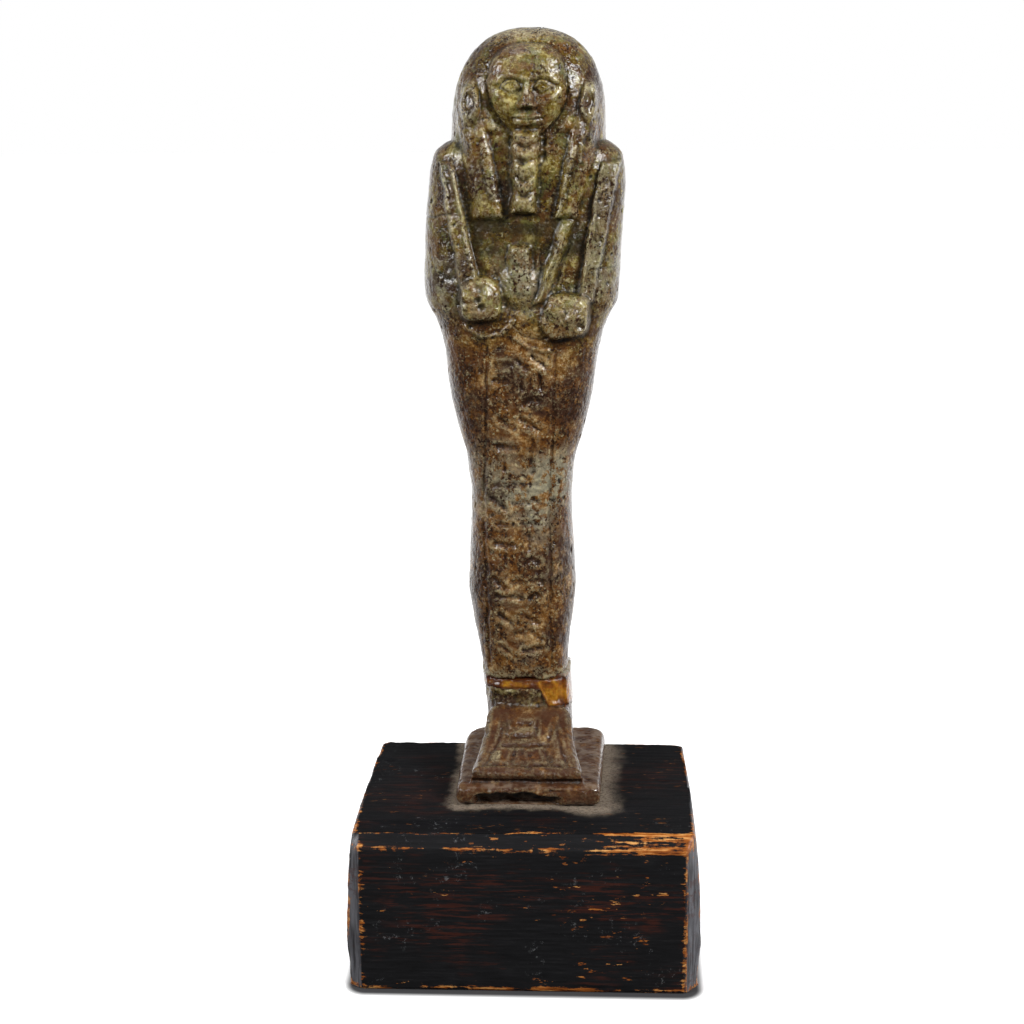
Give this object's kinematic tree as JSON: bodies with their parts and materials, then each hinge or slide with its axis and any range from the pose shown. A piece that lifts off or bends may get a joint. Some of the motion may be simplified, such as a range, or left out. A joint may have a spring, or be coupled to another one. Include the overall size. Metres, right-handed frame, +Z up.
{
  "type": "mummiform ushabti figurine on a wooden block",
  "caption": "Standing mummiform ushabti with crossed arms and an inscribed column, repaired with resin at the ankles, on a low plinth and an ebonised wooden block.",
  "frame": {"origin": "middle of the wooden block's underside", "axes": "+Z up, the figure faces -Y, +X to a viewer's right when they look at its face"},
  "size_m": [0.0694, 0.0512, 0.1823],
  "materials": {
    "glazed_composition": "worn olive-brown glaze over moulded faience, pitted and mottled",
    "amber_resin": "glossy amber resin fill",
    "ebonised_wood": "black stained wood, worn to orange-brown along the edges"
  },
  "bodies": {
    "root": {"ushabti_body": "glazed_composition", "ushabti_feet_and_plinth": "glazed_composition", "resin_repair": "amber_resin", "wooden_block": "ebonised_wood"}
  },
  "joints": []
}
